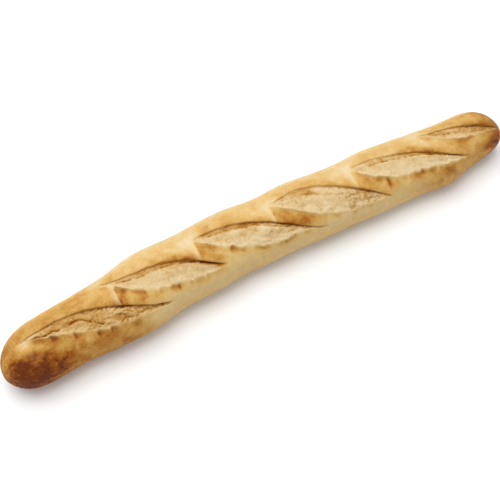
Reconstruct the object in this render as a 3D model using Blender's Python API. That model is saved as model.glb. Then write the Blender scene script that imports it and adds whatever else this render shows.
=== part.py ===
"""A baguette with six diagonal slashes, as one closed solid that rests on its flat underside.

Metres, +Z up. The loaf lies along X with its broad end at -X. Each slash starts just behind the crest
and runs down towards the -Y side. Places on the crust are given by x and by an angle round the loaf,
in degrees: 0 on the crest, +90 on the -Y flank, -90 on the +Y flank and 180 underneath.
"""

import math

import bmesh
import bpy
import numpy as np
from mathutils import Vector, noise

MM = 0.001

# The loaf without its slashes
LENGTH = 560 * MM
BELLY = 20 * MM  # height of the widest line above the table
HALF_WIDTH = 33 * MM  # in the middle; FRONT and BACK give it elsewhere
CROWN = 26 * MM  # from the widest line up to the crest, where the half width is HALF_WIDTH
CROWN_GAIN = 0.5  # exponent of its growth with the half width
KEEL = 21.6 * MM  # from the widest line down, before the table flattens the underside
CROWN_ROUNDNESS = 2.1  # superellipse exponents: 2 is round, more is squarer
KEEL_ROUNDNESS = 2.6
CAP_NEAR = 43 * MM  # length of the rounded end at -X
CAP_FAR = 39 * MM
CAP_ROUNDNESS = 2.1
NOSE_NEAR = -3 * MM  # how far the tip of each end lies off its middle line
NOSE_FAR = -6 * MM

# Plan of the loaf: x and y of its front and back edges, in millimetres
FRONT = (
    (-280, -37), (-262, -38), (-245, -36), (-230, -35), (-210, -33.5), (-180, -35.5), (-137, -35.5),
    (-108, -30.5), (-85, -30), (-60, -29.5), (-36, -27), (-2, -29), (16, -29), (50, -31.5), (82, -32.5),
    (116, -35), (145, -36), (167, -37), (201, -41), (220, -36.5), (235, -33.5), (255, -32.5), (280, -36),
)
BACK = (
    (-280, 22), (-240, 25), (-200, 28.5), (-165, 32.5), (-130, 40), (-90, 40), (-35, 41.5), (5, 38),
    (40, 38.5), (90, 33), (130, 33.5), (185, 27), (215, 23.5), (250, 23), (280, 25.5),
)

# One row for each slash: x where it starts and ends in millimetres, angle where it starts and ends, half of
# its opening in degrees, how far along it opens widest, how far it sags off a straight line, how far it
# bends like an S, and how much narrower its second half is than its first
SLASHES = (
    (-258, -114, -10.5, 64, 19.0, 0.53, 9.8, -4.0, 0.60),
    (-172, -55, -31.5, 49, 18.5, 0.51, -9.0, 7.5, -0.30),
    (-75, 54, -13.5, 69.5, 22.6, 0.43, 1.4, 1.8, 0.87),
    (11, 126, -10.0, 62, 27.6, 0.43, 6.5, -2.3, 0.03),
    (101, 225, -13.0, 60, 21.1, 0.34, 7.4, 3.4, 0.0),
    (184, 271, -29.0, 32.5, 15.2, 0.47, -0.7, 0.2, 0.08),
)

# Relief of a slash, at its full depth
EAR = 2.6 * MM  # how far the torn crust stands up along the upper lip
EAR_REACH = 11 * MM
ROLL = 1.2 * MM  # how far the crust's edge turns down
ROLL_REACH = 2.2 * MM
GROOVE = 3.6 * MM  # depth of the groove under the ear
GROOVE_REACH = 2.5 * MM
UNDERCUT = 1.4 * MM  # how far the groove runs in under the ear
START_SHARE = 0.4  # share of ear, groove and undercut where a slash starts; they grow to its other end
SUNK = 0.9 * MM  # how far the crumb lies below the crust
SWELL = 1.6 * MM  # how far the crumb rises again in the middle of an opening
RISE_FROM = 0.65  # share of the way from the upper lip where the crumb starts to rise to the lower one
LIP = 0.9 * MM  # how far the crust stands up along the lower lip
LIP_REACH = 8 * MM
START_FADE = 0.10  # shares of a slash over which its tips fade out
END_FADE = 0.15

# Unevenness of the crust and the crumb
DENT = 0.5 * MM
DENT_SIZE = 26 * MM
CRAG = 0.7 * MM
CRAG_SIZE = 7 * MM

# The mesh: its columns run along the slashes, so they wind round the loaf in equal strips
STRIPS = 5  # strips round the loaf, each of one opening and the crust next to it
FIRST_SLASH = -190 * MM  # x where strip 0 crosses the slashes' middle line
PITCH = 84 * MM  # from one strip to the next along the loaf
MIDDLE_ANGLE = 26
OPENING_SHARE = 0.5  # share of a strip that is its opening
TOUCH = 0.01 * MM  # columns closer than this to a lip lie on it
CLOSED_HALF = 1.2 * MM  # half width of a strip's opening at the tip of a slash
RELAX = 35 * MM  # how far past a tip the strip takes to widen again
OPENING_COLUMNS = (1.0, 0.91, 0.6, 0.2, -0.25, -0.66, -0.93, -1.0)  # +1 is the lower lip, -1 the upper
CRUST_COLUMNS = (0.13, 0.48, 0.86)  # shares of the crust between one upper lip and the next lower lip
MIDDLE_RINGS = 90
CAP_RINGS = 8

CRUST_COLOUR = (0.66, 0.40, 0.15, 1.0)


def smooth(value):
    """0 below 0, 1 above 1, and an even slope between."""
    value = np.clip(value, 0, 1)
    return value * value * (3 - 2 * value)


def cap(x):
    """Share of the full section at x, falling to 0 at either end."""
    near = np.clip((x + LENGTH / 2) / CAP_NEAR, 0, 1)
    far = np.clip((LENGTH / 2 - x) / CAP_FAR, 0, 1)
    root = 1 / CAP_ROUNDNESS
    return (1 - (1 - near) ** CAP_ROUNDNESS) ** root * (1 - (1 - far) ** CAP_ROUNDNESS) ** root


def curve(stations, x):
    """Height at x of a smooth curve through the stations."""
    xs, values = np.array(stations).T * MM
    step = np.clip(np.searchsorted(xs, x) - 1, 0, len(xs) - 2)
    length = xs[step + 1] - xs[step]
    share = (x - xs[step]) / length
    slopes = np.gradient(values, xs)
    rise = values[step + 1] - values[step]
    start = slopes[step] * length - rise
    end = slopes[step + 1] * length - rise
    return values[step] + share * rise + share * (1 - share) * (start * (1 - share) - end * share)


def plan(x):
    """Half width and sway of the loaf at x."""
    front, back = curve(FRONT, x), curve(BACK, x)
    return (back - front) / 2, (back + front) / 2


def section(angle, half_width, crown, keel):
    """Sideways place and height of the loaf's section, measured from its widest line."""
    sine, cosine = np.sin(np.radians(angle)), np.cos(np.radians(angle))
    power = 2 / np.where(cosine > 0, CROWN_ROUNDNESS, KEEL_ROUNDNESS)
    height = np.where(cosine > 0, crown, keel)
    return (
        -half_width * np.sign(sine) * np.abs(sine) ** power,
        height * np.sign(cosine) * np.abs(cosine) ** power,
    )


def girth_table():
    """Angles round the loaf and the distance from the crest to each, over the middle section."""
    angles = np.linspace(-180, 180, 1441)
    y, z = section(angles, HALF_WIDTH, CROWN, KEEL)
    z = np.maximum(z, -BELLY)
    girth = np.concatenate(([0], np.cumsum(np.hypot(np.diff(y), np.diff(z)))))
    return angles, girth - girth[len(girth) // 2]


ANGLES, GIRTHS = girth_table()
GIRTH = GIRTHS[-1] - GIRTHS[0]


def base_point(x, girth):
    """Points of the loaf without its slashes."""
    angle = np.interp((girth + GIRTH / 2) % GIRTH - GIRTH / 2, GIRTHS, ANGLES)
    half_width, sway = plan(x)
    share = cap(x)
    crown = CROWN * (half_width / HALF_WIDTH) ** CROWN_GAIN
    y, z = section(angle, half_width * share, crown * share, KEEL * share)
    middle = sway + (1 - share) * (NOSE_NEAR if x < 0 else NOSE_FAR)
    return np.stack([x + 0 * y, middle + y, np.maximum(BELLY + z, 0)], -1)


def slash_at(row, x):
    """Centre and half opening of a slash at x as distances round the loaf, how far x lies past its tips,
    the depth of the slash and the share of its full ear and groove there."""
    start, end, first, last, half_angle, widest, sag, bend, narrowing = row
    along = (x / MM - start) / (end - start)
    inside = np.clip(along, 0, 1)
    straight = first + (last - first) * along
    centre = straight - sag * np.sin(math.pi * inside**2) + bend * np.sin(2 * math.pi * inside)
    swell = np.sin(math.pi * inside ** (math.log(0.5) / math.log(widest)))
    opening = half_angle * np.maximum(swell, 0) * (1 - narrowing * smooth(2 * inside - 1))
    back = np.interp(centre - opening, ANGLES, GIRTHS)
    front = np.interp(centre + opening, ANGLES, GIRTHS)
    past = np.maximum(-along, along - 1) * (end - start) * MM
    depth = smooth(along / START_FADE) * smooth((1 - along) / END_FADE)
    grown = START_SHARE + (1 - START_SHARE) * smooth(along)
    return (back + front) / 2, (front - back) / 2, past, depth, grown


def strip_at(k, x):
    """Centre, half opening, depth and share of the full ear and groove of strip k at x. Past the tips of its
    slash a strip widens again."""
    middle = np.interp(MIDDLE_ANGLE, ANGLES, GIRTHS)
    centre = ((x - FIRST_SLASH) / PITCH - k) * GIRTH / STRIPS + middle
    half = OPENING_SHARE / 2 * GIRTH / STRIPS
    if not 0 <= k < len(SLASHES):
        return centre, half, 0.0, 0.0
    slash_centre, slash_half, past, depth, grown = slash_at(SLASHES[k], x)
    held = 1 - smooth(past / RELAX)
    closed = math.hypot(slash_half, CLOSED_HALF)
    return centre + (slash_centre - centre) * held, half + (closed - half) * held, depth, grown


def strips_round(x):
    """The strips that cross the ring at x, from the -Y side of the underside up and over."""
    middle = (x - FIRST_SLASH) / PITCH + np.interp(MIDDLE_ANGLE, ANGLES, GIRTHS) * STRIPS / GIRTH
    first = math.ceil(middle - STRIPS / 2)
    return [(k, *strip_at(k, x)) for k in range(first, first + STRIPS)]


def column_places():
    """Place of each column in its strip: whole numbers are the middles of openings."""
    half = OPENING_SHARE / 2
    opening = [-half * place for place in OPENING_COLUMNS]
    crust = [half + (1 - OPENING_SHARE) * share for share in CRUST_COLUMNS]
    return np.array([k + place for k in range(STRIPS) for place in opening + crust])


def ring_girths(x, places):
    """Distance round the loaf of each column at x, with the columns drawn to the lips of the slashes."""
    knots, girths = [], []
    crossing = strips_round(x)
    for turn in (-1, 0, 1):
        for k, centre, half, *_ in crossing:
            for side in (-1, 1):
                knots.append(k + turn * STRIPS + side * OPENING_SHARE / 2)
                girths.append(centre - turn * GIRTH - side * half)
    first = crossing[0][0] - 0.5
    return np.interp((places - first) % STRIPS + first, knots, girths)


def relief(x, girth):
    """Height over the plain loaf, and sideways shift towards -Y, of the points of a ring."""
    height, shift = np.zeros_like(girth), np.zeros_like(girth)
    for _, centre, half, depth, grown in strips_round(x):
        if depth <= 0:
            continue
        offset = (girth - centre + GIRTH / 2) % GIRTH - GIRTH / 2
        across = np.clip((offset + half) / (2 * half), 0, 1)
        behind = np.maximum(-offset - half, 0)
        before = np.maximum(offset - half, 0)
        hidden = np.exp(-across * 2 * half / GROOVE_REACH)
        edge = EAR * grown * np.exp(-((behind / EAR_REACH) ** 1.5)) - ROLL * np.exp(-behind / ROLL_REACH)
        lip = LIP * np.exp(-before / LIP_REACH)
        rise = smooth((across - RISE_FROM) / (1 - RISE_FROM))
        crumb = SWELL * np.sin(math.pi * across) - SUNK + (SUNK + LIP) * rise
        crumb -= (GROOVE * grown - SUNK) * hidden
        inside = np.abs(offset) < half - TOUCH
        height += depth * np.where(inside, crumb, np.where(offset < 0, edge, lip))
        shift -= depth * np.where(inside, UNDERCUT * grown * hidden, 0)
    return height, shift


def crumb_share(x, girth):
    """How much of each point of a ring lies in an opening, from 0 to 1."""
    share = np.zeros_like(girth)
    for _, centre, half, depth, _ in strips_round(x):
        offset = np.abs((girth - centre + GIRTH / 2) % GIRTH - GIRTH / 2)
        share += depth * smooth((half - offset) / (0.3 * half))
    return share


def unevenness(points, share):
    """Broad dents in the crust and small crags in the crumb."""
    found = np.empty(len(points))
    for n, (point, crumb) in enumerate(zip(points, share)):
        place = Vector(point)
        dent = noise.noise(place / DENT_SIZE)
        crag = noise.noise(place / CRAG_SIZE)
        found[n] = DENT * dent + CRAG * crumb * crag
    return found


def ring_places():
    """x of each ring: close together in the rounded ends, even between."""
    turns = np.linspace(0, math.pi / 2, CAP_RINGS + 2)[1:-1]
    near = -LENGTH / 2 + CAP_NEAR * (1 - np.cos(turns))
    far = LENGTH / 2 - CAP_FAR * (1 - np.cos(turns))
    middle = np.linspace(-LENGTH / 2 + CAP_NEAR, LENGTH / 2 - CAP_FAR, MIDDLE_RINGS)
    return np.concatenate((near, middle, far[::-1]))


def loaf_points():
    """The rings of the loaf with its slashes, and its two end points."""
    places = column_places()
    xs = ring_places()
    girths = np.array([ring_girths(x, places) for x in xs])
    points = np.array([base_point(x, girth) for x, girth in zip(xs, girths)])
    along = np.gradient(points, axis=0)
    round_loaf = np.roll(points, -1, axis=1) - np.roll(points, 1, axis=1)
    across = -round_loaf / np.linalg.norm(round_loaf, axis=2, keepdims=True)
    normals = np.cross(along, round_loaf)
    normals /= np.linalg.norm(normals, axis=2, keepdims=True)
    for n, x in enumerate(xs):
        height, shift = relief(x, girths[n])
        height += unevenness(points[n], crumb_share(x, girths[n])) * cap(x)
        height *= points[n][:, 2] > 0
        points[n] += normals[n] * height[:, None] + across[n] * shift[:, None]
    points[:, :, 2] = np.maximum(points[:, :, 2], 0)
    ends = np.array([base_point(side * LENGTH / 2, 0) for side in (-1, 1)])
    return points, ends


def centred(points, ends):
    """Both moved sideways so that the middle of the loaf's box is at y = 0."""
    middle = (points[:, :, 1].min() + points[:, :, 1].max()) / 2
    points[:, :, 1] -= middle
    ends[:, 1] -= middle
    return points, ends


def skin(name, points, ends):
    """A closed mesh over the rings, each joined to the next, with a fan of triangles at each end."""
    shape = bmesh.new()
    rings = [[shape.verts.new(point) for point in ring] for ring in points]
    near, far = (shape.verts.new(point) for point in ends)
    columns = len(rings[0])
    for ring, following in zip(rings, rings[1:]):
        for n in range(columns):
            after = (n + 1) % columns
            shape.faces.new((ring[n], following[n], following[after], ring[after]))
    for n in range(columns):
        after = (n + 1) % columns
        shape.faces.new((near, rings[0][n], rings[0][after]))
        shape.faces.new((far, rings[-1][after], rings[-1][n]))
    bmesh.ops.recalc_face_normals(shape, faces=shape.faces)
    mesh = bpy.data.meshes.new(name)
    shape.to_mesh(mesh)
    shape.free()
    mesh.shade_smooth()
    return mesh


def crust_material():
    """Baked crust: golden, dry and matt."""
    material = bpy.data.materials.new("crust")
    material.use_nodes = True
    surface = material.node_tree.nodes["Principled BSDF"]
    surface.inputs["Base Color"].default_value = CRUST_COLOUR
    surface.inputs["Roughness"].default_value = 0.62
    surface.inputs["Metallic"].default_value = 0.0
    return material


def clear_scene():
    """Removes whatever the scene starts with."""
    for thing in list(bpy.data.objects):
        bpy.data.objects.remove(thing)


def main():
    clear_scene()
    mesh = skin("baguette", *centred(*loaf_points()))
    mesh.materials.append(crust_material())
    bpy.context.scene.collection.objects.link(bpy.data.objects.new("baguette", mesh))


main()
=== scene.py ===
"""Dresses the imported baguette: crust, ears, torn crumb and browning, on a pale floor in soft light.

Metres, +Z up, the loaf along X with its broad end at -X and its slashes running down towards -Y. Places on
the crust are given by x and by an angle round the loaf, in degrees: 0 on the crest, +90 on the -Y flank,
-90 on the +Y flank and 180 underneath. Distances round the loaf count from the crest, -Y side positive.
Along a slash, 0 is its start and 1 its end; across it, 0 is its upper lip and 1 its lower lip.
A span is a pair of places: something begins to show at the first and shows in full at the second.
"""

import itertools
import math

import bpy
import numpy as np
from mathutils import Matrix, Vector, noise


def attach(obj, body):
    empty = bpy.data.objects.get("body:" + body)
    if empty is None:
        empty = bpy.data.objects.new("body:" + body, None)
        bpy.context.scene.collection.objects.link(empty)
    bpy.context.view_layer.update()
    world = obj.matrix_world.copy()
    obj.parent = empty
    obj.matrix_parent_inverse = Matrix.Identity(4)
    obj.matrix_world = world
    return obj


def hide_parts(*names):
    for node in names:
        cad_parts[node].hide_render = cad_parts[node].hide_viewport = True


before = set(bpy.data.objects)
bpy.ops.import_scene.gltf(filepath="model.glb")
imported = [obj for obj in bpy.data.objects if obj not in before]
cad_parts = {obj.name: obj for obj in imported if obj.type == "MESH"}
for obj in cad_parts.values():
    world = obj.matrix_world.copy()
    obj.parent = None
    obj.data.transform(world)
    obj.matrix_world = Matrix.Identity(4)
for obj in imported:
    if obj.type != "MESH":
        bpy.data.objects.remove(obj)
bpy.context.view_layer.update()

MM = 0.001

# The loaf without its slashes, as in the solid
LENGTH = 560 * MM
BELLY = 20 * MM
HALF_WIDTH = 33 * MM
CROWN = 26 * MM
CROWN_GAIN = 0.5
KEEL = 21.6 * MM
CROWN_ROUNDNESS = 2.1
KEEL_ROUNDNESS = 2.6
CAP_NEAR = 43 * MM
CAP_FAR = 39 * MM
CAP_ROUNDNESS = 2.1
NOSE_NEAR = -3 * MM
NOSE_FAR = -6 * MM
SIDE_SHIFT = -0.24 * MM  # centres the solid's box

# Plan of the loaf: x and y of its front and back edges, in millimetres
FRONT = (
    (-280, -37), (-262, -38), (-245, -36), (-230, -35), (-210, -33.5), (-180, -35.5), (-137, -35.5),
    (-108, -30.5), (-85, -30), (-60, -29.5), (-36, -27), (-2, -29), (16, -29), (50, -31.5), (82, -32.5),
    (116, -35), (145, -36), (167, -37), (201, -41), (220, -36.5), (235, -33.5), (255, -32.5), (280, -36),
)
BACK = (
    (-280, 22), (-240, 25), (-200, 28.5), (-165, 32.5), (-130, 40), (-90, 40), (-35, 41.5), (5, 38),
    (40, 38.5), (90, 33), (130, 33.5), (185, 27), (215, 23.5), (250, 23), (280, 25.5),
)

# One row for each slash: x where it starts and ends in millimetres, angle where it starts and ends, half of
# its opening in degrees, how far along it opens widest, how far it sags off a straight line, how far it
# bends like an S, and how much narrower its second half is than its first
SLASHES = (
    (-258, -114, -10.5, 64, 19.0, 0.53, 9.8, -4.0, 0.6),
    (-172, -55, -31.5, 49, 18.5, 0.51, -9.0, 7.5, -0.3),
    (-75, 54, -13.5, 69.5, 22.6, 0.43, 1.4, 1.8, 0.87),
    (11, 126, -10.0, 62, 27.6, 0.43, 6.5, -2.3, 0.03),
    (101, 225, -13.0, 60, 21.1, 0.34, 7.4, 3.4, 0.0),
    (184, 271, -29.0, 32.5, 15.2, 0.47, -0.7, 0.2, 0.08),
)

# Relief of a slash, at its full depth, as in the solid
EAR = 2.6 * MM
EAR_REACH = 11 * MM
EAR_ROUNDNESS = 1.5
ROLL = 1.2 * MM
ROLL_REACH = 2.2 * MM
GROOVE = 3.6 * MM
GROOVE_REACH = 2.5 * MM
UNDERCUT = 1.4 * MM
START_SHARE = 0.4
SUNK = 0.9 * MM
SWELL = 1.6 * MM
RISE_SPAN = (0.65, 1)
LIP = 0.9 * MM
LIP_REACH = 8 * MM
START_FADE = 0.1
END_FADE = 0.15

# Broad unevenness, as in the solid
DENT = 0.5 * MM
DENT_SIZE = 26 * MM
CRAG = 0.7 * MM
CRAG_SIZE = 7 * MM

# The lips wander; the lower one has finer tatters too
UPPER_WOBBLE = 0.5 * MM
LOWER_WOBBLE = 1.0 * MM
WOBBLE_SIZE = 9 * MM
TATTERS = 0.5
TATTER_SIZE = 0.4 * WOBBLE_SIZE
WOBBLE_FROM = 0.5  # share of its widest opening from which a slash has them in full

# Fine relief: how far each kind stands out and the size of one wave or pit of it
ROUGH = 0.42 * MM
ROUGH_SIZE = 2.4 * MM
FOLD = 0.7 * MM
FOLD_SIZE = 4.5 * MM
FOLD_STRETCH = (3, 1, 1)
FOLD_SPAN = (0, 3 * MM)
LAYER_GAP = 9 * MM  # keeps the folds of one slash unlike those of the next
BULGE = 1.1 * MM
BULGE_SIZE = 4.2 * MM
BULGE_STRETCH = (1.6, 1, 1)
SEAM_HALF = 0.45  # their seams lie where the waves are nearer to 0 than this
SWIRL = 1.0 * MM
SWIRL_SIZE = 2.5 * MM
FIBRE = 0.3 * MM
FIBRE_SIZE = 1.5 * MM
FIBRE_STRETCH = (1, 3, 1)
PIT = 0.7 * MM
PIT_SIZE = 3.0 * MM
PIT_CHANCE = 0.5
PIT_RADIUS = 0.5
PIMPLE = 0.24 * MM
PIMPLE_SIZE = 3.6 * MM
WRINKLE = 0.55 * MM
WRINKLE_SIZE = 2.6 * MM
WRINKLE_STRETCH = (0.8, 2.2, 1)
# Share of the finer waves beside the larger
FINER = 0.6
FINER_ROUGH = 0.5
FINER_PIMPLES = 0.7

# Bake of the plain crust, from dough (0) to dark brown (1), and what makes it browner or paler
BAKE = 0.34
BROAD_BAKE = 0.07
BROAD_SIZE = 45 * MM
PATCH_BAKE = 0.04
PATCH_SIZE = 13 * MM
SMALL_PATCH_SIZE = 6 * MM
PALE_BACK = 0.13
BACK_SPAN = (-30, -55)
BACK_FOOT_SPAN = (-120, -90)
PALE_CREST = 0.06
CREST_ANGLE = -8
CREST_SPREAD = 14
PALE_WAIST = 0.14
WAIST_X = -148 * MM
WAIST_LENGTH = 30 * MM
WAIST_SPAN = (-6, -22)
PALE_START = 0.2  # where each slash but the first starts
START_SHIFT = (-2, -3)  # off the start of the slash along and round the loaf, in millimetres
START_SPREAD = (10, 9)
NEAR_END = (-248 * MM, -274 * MM)
FAR_END = (246 * MM, 270 * MM)
# Spans of x and how much browner the loaf is past them
BROWNER = (
    (*NEAR_END, 0.2),
    (*FAR_END, 0.23),
    (130 * MM, 170 * MM, 0.05),
    (-95 * MM, -205 * MM, 0.22),
    (190 * MM, 250 * MM, 0.12),
)
NEAR_LOW_SPAN = (-190 * MM, -250 * MM)
LOW_SPAN = (20, 80)
NEAR_LOW_BAKE = 0.06
NEAR_BACK_BAKE = 0.12
NEAR_BACK_SPAN = (-40, -80)

# Browned cheek of each end: x and distance from the crest, spread each way, in millimetres
NEAR_CHEEK = (-258, 28, 24, 20)
FAR_CHEEK = (268, 40, 18, 18)
# Patches of browner (positive) or paler crust: the same, and strength
PATCHES = (
    (-257, 27, 20, 20, 0.42), (-231, 32, 18, 14, 0.16), (-253, -1, 6, 7, -0.4), (-142, 17, 5, 4, 0.16),
    (-128, 19, 4, 4, 0.12), (-58, 19, 4, 4, 0.14), (24, 19, 10, 5, 0.12),
    (-151, 10, 3, 8, -0.16), (129, 22, 2.5, 4, 0.4), (36, 22, 8, 4, 0.18), (-45, 17, 4, 3, 0.2),
    (-66, 26, 6, 3, 0.2), (-240, 7, 8, 5, -0.2), (-256, 15, 9, 8, 0.14), (-276, 25, 8, 30, -0.22),
    (-200, 24, 3, 6, -0.2), (235, 17, 12, 5, -0.12), (250, 36, 8, 6, 0.1),
    (-132, 34, 18, 7, -0.16), (-52, 13, 8, 7, -0.14), (9, 8, 6, 6, 0.16), (70, 34, 30, 8, -0.06),
    (163, 26, 8, 5, 0.22), (193, 31, 12, 6, 0.17), (174, 40, 22, 7, 0.16), (186, -1, 4, 6, -0.16),
    (200, -10, 14, 9, -0.14), (221, 16, 8, 6, 0.16), (240, 20, 10, 8, -0.1), (259, 31, 9, 12, 0.1),
)
# Each MOTTLE is how much stronger a look is in the browner parts of the uneven crust
PATCH_MOTTLE = 0.4

# Wrinkles and blisters of the browned ends: how much of them is in each end, all over and low down
NEAR_BLISTERS = 0.4
NEAR_LOW_BLISTERS = 0.35
FAR_LOW_BLISTERS = 0.5
WRINKLE_BROWN = 0.21

# Low flanks: pimples, flour that the amber ends have less of, and the tray side below
PIMPLE_SPAN = (58, 84)
PIMPLE_BROWN = 0.05
FLOUR_SPAN = (44, 70)
FLOUR_LOW_SPAN = (78, 100)
FLOUR_LOW_LOSS = 0.6
FLOUR_SHARE = 0.65
FLOUR_MOTTLE = 0.9
BLISTERED_IN_FULL = 0.4  # as blistered as this, the crust holds no flour
NEAR_AMBER_SPAN = (-120 * MM, -160 * MM)
FAR_AMBER_SPAN = (150 * MM, 190 * MM)
FAR_AMBER = 0.8
AMBER_LOW_SPAN = (36, 60)
AMBER_BAKE = 0.12
AMBER_MOTTLE = 0.6
TRAY_SPAN = (130, 165)
TRAY_BAKE = 0.1
TRAY_SPOT_BAKE = 0.09
TRAY_SPOT_SIZE = 14 * MM

# The tear inside each opening: how far along it is, and its place there from the upper lip (0) to the
# lower lip (1). Above it lies a shelf of browned crumb, below it the paler crumb.
TEARS = (
    (
        (0.06, 0.8), (0.18, 0.69), (0.29, 0.58), (0.35, 0.45), (0.39, 0.39),
        (0.43, 0.44), (0.47, 0.61), (0.52, 0.77), (0.6, 0.83),
    ),
    ((0.1, 0.45), (0.35, 0.3), (0.5, 0.19), (0.62, 0.15), (0.78, 0.08), (0.95, 0.05)),
    ((0.05, 0.4), (0.15, 0.33), (0.25, 0.27), (0.49, 0.18), (0.62, 0.26), (0.8, 0.3)),
    ((0.06, 0.3), (0.2, 0.26), (0.35, 0.34), (0.55, 0.4), (0.75, 0.35), (0.92, 0.4)),
    ((0.08, 0.42), (0.24, 0.28), (0.41, 0.26), (0.55, 0.2), (0.71, 0.15), (0.9, 0.1)),
    ((0.1, 0.55), (0.4, 0.52), (0.6, 0.5), (0.85, 0.5)),
)
TORN = (1.3, 0.9, 0.7, 0.35, 0.85, 0.55)  # how strongly each slash shows its tear
CRACK = 1.5 * MM
CRACK_HALF = 0.7 * MM
CRACK_GAPS = (0.5, 1.8, 4.5 * MM)  # level, contrast and size of the breaks in it
# painted shade along the crack of the tear: how dark it is, and how far towards the lower lip it lies off the
# crack
CRACK_SHADE = 0.85
CRACK_SHADE_SHIFT = 0.1 * MM
TEAR_FADES = (0.08, 0.1)  # shares of the slash over which the tear begins and ends
TEAR_WOBBLE = 0.8 * MM
TEAR_WOBBLE_SIZE = 5 * MM
STEP = 0.9 * MM  # how far the shelf stands up over the crumb along the tear
STEP_EDGE = 0.5 * MM
STEP_REACH = 3.5 * MM
SHELF_SPAN = (0, 1.2 * MM)

# The crumb: roughness, bulges with seams between them, pits and specks
CRUMB_MARGIN = 1.2 * MM  # from the lips to where it has them in full
SPECKLED = (1.3, 0.25, 0.3, 0.8, 0.25, 0.8)  # how rough and spotted the second half of each slash is
SPECKLED_SPAN = (0.45, 0.65)
LUMPY = (1.2, 0.3, 0.9, 0.9, 0.4, 0.6)  # how strongly the crumb of each slash bulges
FIRST_ROUGH = 0.6
FIRST_FIBRE = 0.5
FEWEST_SEAMS = 0.35
SEAM_MOTTLE = 1.2
SECOND_SEAMS = 0.4
PITTED = 0.9
PITTED_REACH = 4 * MM
# painted shade in the pits
PIT_SHADE = 0.45
SPECK_DARK = 0.3
SPECK_SPANS = ((0.25, 0.75), (0.35, 0.65))

# Tone of the crumb, on the scale of bake: each slash's own, its shelf's, and what adds to them
CRUMB_TONE = (0.5, 0.28, 0.24, 0.24, 0.2, 0.36)
SHELF_TONE = (0.6, 0.54, 0.6, 0.32, 0.4, 0.54)
# paler where the folds stand up and darker in their hollows: painted light and shade
FOLD_LIGHT_AND_SHADE_TONE = -0.08
PATCH_TONE = 0.1
FIBRE_TONE = 0.08
LOW_TONE = -0.15
LOW_TONE_SPAN = (0.55, 0.95)
# browner in the sunken seams between bulges: painted shade
SEAM_SHADE_TONE = 0.3
SECOND_TONE = 0.05
UPPER_TONE = 0.13
UPPER_TONE_REACH = 2.2 * MM
# browner crumb just under the ear, where its shadow falls: painted warm shade
EAR_SHADE_TONE = 0.12
EAR_SHADE_TONE_REACH = 1.4 * MM
CRUMB_EDGE = 0.5 * MM
CRUMB_FROM = 0.25  # share of a slash's full depth from which it shows crumb in full

# Marks inside the openings: slash, place along and across it, spread each way, how much browner, and how much
# darker; the darker ones are painted shade under an ear, along a tear and in notches at a slash's end
MARKS = (
    (2, 0.55, 0.24, 0.07, 0.16, -0.45, 0), (3, 0.33, 0.3, 0.07, 0.07, 0.55, 0),
    (1, 0.87, 0.14, 0.07, 0.2, 0.3, 0.8), (1, 0.93, 0.35, 0.03, 0.3, 0.3, 0.75),
    (3, 0.98, 0.45, 0.03, 0.4, 0.25, 0.6), (2, 0.44, 0.1, 0.12, 0.12, 0.3, 0),
    (4, 0.27, 0.16, 0.02, 0.1, 0.2, 0.5), (0, 0.12, 0.45, 0.09, 0.5, -0.26, 0),
    (0, 0.37, 0.4, 0.05, 0.07, 0.15, 0.7), (0, 0.68, 0.25, 0.14, 0.25, -0.3, 0),
    (3, 0.26, 0.12, 0.12, 0.14, 0.3, 0), (4, 0.6, 0.08, 0.12, 0.08, 0.25, 0.3),
    (3, 0.55, 0.2, 0.13, 0.2, -0.35, 0), (5, 0.86, 0.6, 0.2, 0.45, 0.3, 0),
    (5, 0.45, 0.35, 0.16, 0.16, -0.1, 0), (4, 0.66, 0.4, 0.16, 0.12, 0.14, 0),
)

# Painted shadow under the ear, and the dark line along its edge, which is partly painted shade and partly a
# toasted edge
SHADOWED = (0.25, 0.75, 0.25, 0.4, 0.35, 0.0)  # how dark they are at each slash
SHADOW_SPAN = (0.3, 0.7)
FIRST_SHADOW = 0.3
TAIL_DARK = (0.6, 1.0, 0.6, 0.9, 0.45, 0.4)  # how much of that is left towards the end
TAIL_SPAN = (0.7, 0.9)
SHADOW_DARK = 0.62
SHADOW_REACH = 1.3 * MM
LINE_DARK = 0.45
LINE_REACH = 0.4 * MM
TIP_PAST = 0.02  # how far past its ends a slash still shows
TIP_FADE = 0.05

# Browned ears, with a darker blush on each: how far along its middle is, its spread and strength
BLUSHES = (
    (0.62, 0.1, 0.2), (0.64, 0.16, 1.0), (0.35, 0.15, 1.0),
    (0.42, 0.14, 0.5), (0.55, 0.1, 1.0), (0.8, 0.2, 0.2),
)
BLUSH = 0.26
BLUSH_MOTTLE = 0.5
EAR_BAKE = 0.05
EAR_BAKE_REACH = 8 * MM
EAR_BAND_BAKE = 0.07
EAR_BAND_SPANS = ((0.5, 0.7), (0.95, 0.7))
EAR_PATCH_BAKE = 0.08
EAR_PATCH_SPAN = (-0.1, 0.4)
EAR_PATCH_END = (0.95, 0.65)
EAR_EDGE_BAKE = 0.16
EAR_EDGE_REACH = 1.3 * MM

# Crust below a lower lip falls away in facets with a sharp edge on their -X side. Each slash has a broad
# one near its start: x of that edge and its length, in millimetres, and how browned it is
FACETS = (
    (-246, 30, 0.2), (-160, 12, 1.2), (-75, 16, 1.35),
    (7, 36, 1.15), (98, 38, 1.1), (186, 40, 0.3),
)
FACET = 1.5 * MM
FACET_BROWN = 0.18
FACET_LEVEL = 0.4  # share of its length over which a facet is at its full depth
FACET_MOTTLE = (0.85, 0.25)  # an even share, and a mottled one
FACET_RIM_BROWN = 0.35
PALE_EDGE = 0.5  # pale crust before the edge of a facet
PALE_EDGE_SPAN = (-7 * MM, -1 * MM)
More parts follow.
